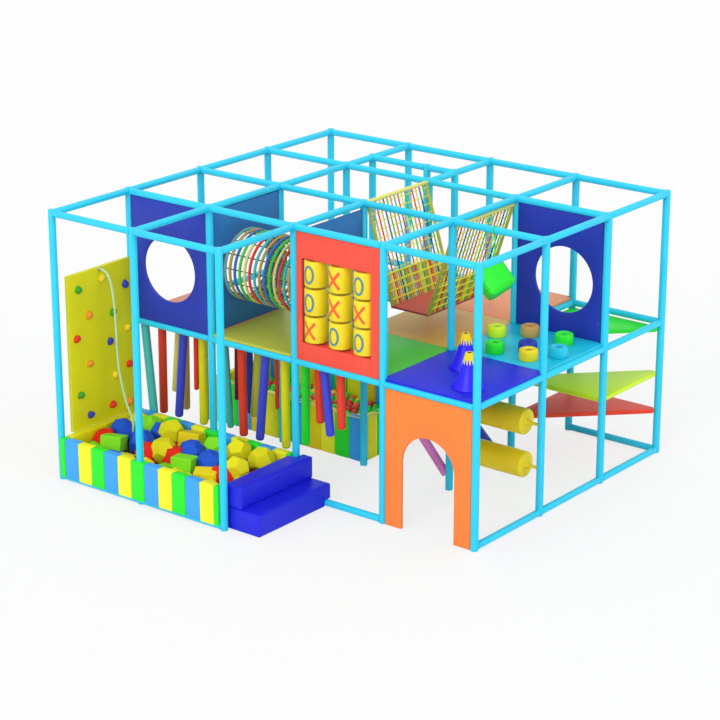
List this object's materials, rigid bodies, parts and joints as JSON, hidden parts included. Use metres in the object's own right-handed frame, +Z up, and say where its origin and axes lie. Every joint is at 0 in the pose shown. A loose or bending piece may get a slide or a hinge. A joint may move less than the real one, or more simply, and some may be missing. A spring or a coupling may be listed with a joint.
{
  "type": "indoor play maze",
  "caption": "Soft play maze on a padded tube frame, with a foam pit, ball pit, climbing wall, net tunnel, net bridge, spinners, rollers and hanging tubes.",
  "frame": {"origin": "on the floor, at the middle of the four by four grid of bays", "axes": "+Z up; +X to the right along the front; +Y from the front, with the foam pit, to the back"},
  "size_m": [4.8792, 4.8996, 3.13],
  "materials": {
    "tube_cyan": "foam sleeve in smooth cyan vinyl over steel tube",
    "navy": "foam in matt coloured vinyl",
    "steel_blue": "foam in matt coloured vinyl",
    "red_orange": "foam in matt coloured vinyl",
    "orange": "foam in matt coloured vinyl",
    "yellow": "foam in matt coloured vinyl",
    "mustard": "foam in matt coloured vinyl",
    "blue": "foam in matt coloured vinyl",
    "sky": "foam in matt coloured vinyl",
    "green": "foam in matt coloured vinyl",
    "red": "foam in matt coloured vinyl",
    "teal": "foam in matt coloured vinyl",
    "tan": "foam in matt coloured vinyl",
    "lime": "foam in matt coloured vinyl",
    "pink": "foam in matt coloured vinyl",
    "rope": "twisted soft rope",
    "green_net": "knotted nylon cord in many colours",
    "lime_net": "knotted nylon cord in many colours, on padded border tubes",
    "red_balls": "smooth hollow plastic balls in many colours",
    "yellow_gloss": "smooth moulded plastic"
  },
  "bodies": {
    "structure": {"top_rail_y1": "tube_cyan", "top_rail_y2": "tube_cyan", "top_rail_y3": "tube_cyan", "top_rail_y4": "tube_cyan", "mid_rail_y1": "tube_cyan", "mid_rail_y2": "tube_cyan", "mid_rail_y3": "tube_cyan", "mid_rail_y4": "tube_cyan", "front_frame": "tube_cyan", "frame_x0": "tube_cyan", "frame_x1": "tube_cyan", "frame_x2": "tube_cyan", "frame_x3": "tube_cyan", "frame_x4": "tube_cyan", "deck_front_row": "blue", "deck_back_rows": "tan", "panel_hole_front": "navy", "panel_hole_back": "navy", "panel_tunnel_left": "steel_blue", "panel_tunnel_right": "steel_blue", "game_panel": "red_orange", "arch_door_panel": "orange", "net_tunnel": "green_net", "net_bridge": "lime_net", "foam_pit_wall": "green", "foam_pit_filling": "yellow", "soft_steps": "blue", "climbing_wall": "mustard", "climbing_rope": "rope", "ball_pit_wall": "sky", "ball_pit_balls": "red_balls", "platform_low": "red", "platform_middle": "lime", "platform_high": "green", "slanted_beam_pink": "pink", "slanted_beam_blue": "navy"},
    "spinner_1_1": {"spinner_1_1": "yellow_gloss"},
    "spinner_1_2": {"spinner_1_2": "yellow_gloss"},
    "spinner_1_3": {"spinner_1_3": "yellow_gloss"},
    "spinner_2_1": {"spinner_2_1": "yellow_gloss"},
    "spinner_2_2": {"spinner_2_2": "yellow_gloss"},
    "spinner_2_3": {"spinner_2_3": "yellow_gloss"},
    "spinner_3_1": {"spinner_3_1": "yellow_gloss"},
    "spinner_3_2": {"spinner_3_2": "yellow_gloss"},
    "spinner_3_3": {"spinner_3_3": "yellow_gloss"},
    "roller_upper": {"roller_upper": "yellow"},
    "roller_lower": {"roller_lower": "yellow"},
    "hanging_tube_01": {"hanging_tube_01": "teal"},
    "hanging_tube_02": {"hanging_tube_02": "red"},
    "hanging_tube_03": {"hanging_tube_03": "blue"},
    "hanging_tube_04": {"hanging_tube_04": "yellow"},
    "hanging_tube_05": {"hanging_tube_05": "mustard"},
    "hanging_tube_06": {"hanging_tube_06": "red"},
    "hanging_tube_07": {"hanging_tube_07": "blue"},
    "hanging_tube_08": {"hanging_tube_08": "yellow"},
    "hanging_tube_09": {"hanging_tube_09": "green"},
    "hanging_tube_10": {"hanging_tube_10": "red"},
    "hanging_tube_11": {"hanging_tube_11": "blue"},
    "hanging_tube_12": {"hanging_tube_12": "red"},
    "hanging_block": {"hanging_block": "green"}
  },
  "joints": [
    {"name": "spinner_1_1_turn", "type": "hinge", "parent": "structure", "child": "spinner_1_1", "pos_m": [0.247, -1.134, 1.9725], "axis": [0, 0, 1], "continuous": true},
    {"name": "spinner_1_2_turn", "type": "hinge", "parent": "structure", "child": "spinner_1_2", "pos_m": [0.247, -1.134, 2.2825], "axis": [0, 0, 1], "continuous": true},
    {"name": "spinner_1_3_turn", "type": "hinge", "parent": "structure", "child": "spinner_1_3", "pos_m": [0.247, -1.134, 2.5925], "axis": [0, 0, 1], "continuous": true},
    {"name": "spinner_2_1_turn", "type": "hinge", "parent": "structure", "child": "spinner_2_1", "pos_m": [0.58, -1.134, 1.9725], "axis": [0, 0, 1], "continuous": true},
    {"name": "spinner_2_2_turn", "type": "hinge", "parent": "structure", "child": "spinner_2_2", "pos_m": [0.58, -1.134, 2.2825], "axis": [0, 0, 1], "continuous": true},
    {"name": "spinner_2_3_turn", "type": "hinge", "parent": "structure", "child": "spinner_2_3", "pos_m": [0.58, -1.134, 2.5925], "axis": [0, 0, 1], "continuous": true},
    {"name": "spinner_3_1_turn", "type": "hinge", "parent": "structure", "child": "spinner_3_1", "pos_m": [0.913, -1.134, 1.9725], "axis": [0, 0, 1], "continuous": true},
    {"name": "spinner_3_2_turn", "type": "hinge", "parent": "structure", "child": "spinner_3_2", "pos_m": [0.913, -1.134, 2.2825], "axis": [0, 0, 1], "continuous": true},
    {"name": "spinner_3_3_turn", "type": "hinge", "parent": "structure", "child": "spinner_3_3", "pos_m": [0.913, -1.134, 2.5925], "axis": [0, 0, 1], "continuous": true},
    {"name": "roller_upper_turn", "type": "hinge", "parent": "structure", "child": "roller_upper", "pos_m": [1.8, 0, 1.035], "axis": [1, 0, 0], "continuous": true},
    {"name": "roller_lower_turn", "type": "hinge", "parent": "structure", "child": "roller_lower", "pos_m": [1.8, 0, 0.545], "axis": [1, 0, 0], "continuous": true},
    {"name": "hanging_tube_01_swing", "type": "hinge", "parent": "structure", "child": "hanging_tube_01", "pos_m": [-2.338, -1.08, 1.60415], "axis": [1, 0, 0], "range_deg": [0, 6]},
    {"name": "hanging_tube_02_swing", "type": "hinge", "parent": "structure", "child": "hanging_tube_02", "pos_m": [-2.277, -0.85, 1.60415], "axis": [1, 0, 0], "range_deg": [-5, 35]},
    {"name": "hanging_tube_03_swing", "type": "hinge", "parent": "structure", "child": "hanging_tube_03", "pos_m": [-1.923, -0.85, 1.60415], "axis": [1, 0, 0], "range_deg": [-10, 35]},
    {"name": "hanging_tube_04_swing", "type": "hinge", "parent": "structure", "child": "hanging_tube_04", "pos_m": [-1.654, -0.85, 1.60415], "axis": [1, 0, 0], "range_deg": [-10, 35]},
    {"name": "hanging_tube_05_swing", "type": "hinge", "parent": "structure", "child": "hanging_tube_05", "pos_m": [-0.969, -0.65, 1.60415], "axis": [1, 0, 0], "range_deg": [-4, 25]},
    {"name": "hanging_tube_06_swing", "type": "hinge", "parent": "structure", "child": "hanging_tube_06", "pos_m": [-1.074, -0.85, 1.60415], "axis": [1, 0, 0], "range_deg": [-10, 4]},
    {"name": "hanging_tube_07_swing", "type": "hinge", "parent": "structure", "child": "hanging_tube_07", "pos_m": [-0.691, -0.85, 1.60415], "axis": [1, 0, 0], "range_deg": [-10, 35]},
    {"name": "hanging_tube_08_swing", "type": "hinge", "parent": "structure", "child": "hanging_tube_08", "pos_m": [-0.445, -0.85, 1.60415], "axis": [1, 0, 0], "range_deg": [-10, 35]},
    {"name": "hanging_tube_09_swing", "type": "hinge", "parent": "structure", "child": "hanging_tube_09", "pos_m": [-0.122, -0.87, 1.60415], "axis": [1, 0, 0], "range_deg": [-10, 35]},
    {"name": "hanging_tube_10_swing", "type": "hinge", "parent": "structure", "child": "hanging_tube_10", "pos_m": [0.083, -0.91, 1.60415], "axis": [1, 0, 0], "range_deg": [-40, 40]},
    {"name": "hanging_tube_11_swing", "type": "hinge", "parent": "structure", "child": "hanging_tube_11", "pos_m": [0.188, -0.95, 1.60415], "axis": [1, 0, 0], "range_deg": [-40, 40]},
    {"name": "hanging_tube_12_swing", "type": "hinge", "parent": "structure", "child": "hanging_tube_12", "pos_m": [0.436, -0.96, 1.60415], "axis": [1, 0, 0], "range_deg": [-40, 40]},
    {"name": "hanging_block_swing", "type": "hinge", "parent": "structure", "child": "hanging_block", "pos_m": [1.755, 0, 3.08], "axis": [1, 0, 0], "range_deg": [-45, 45]}
  ]
}
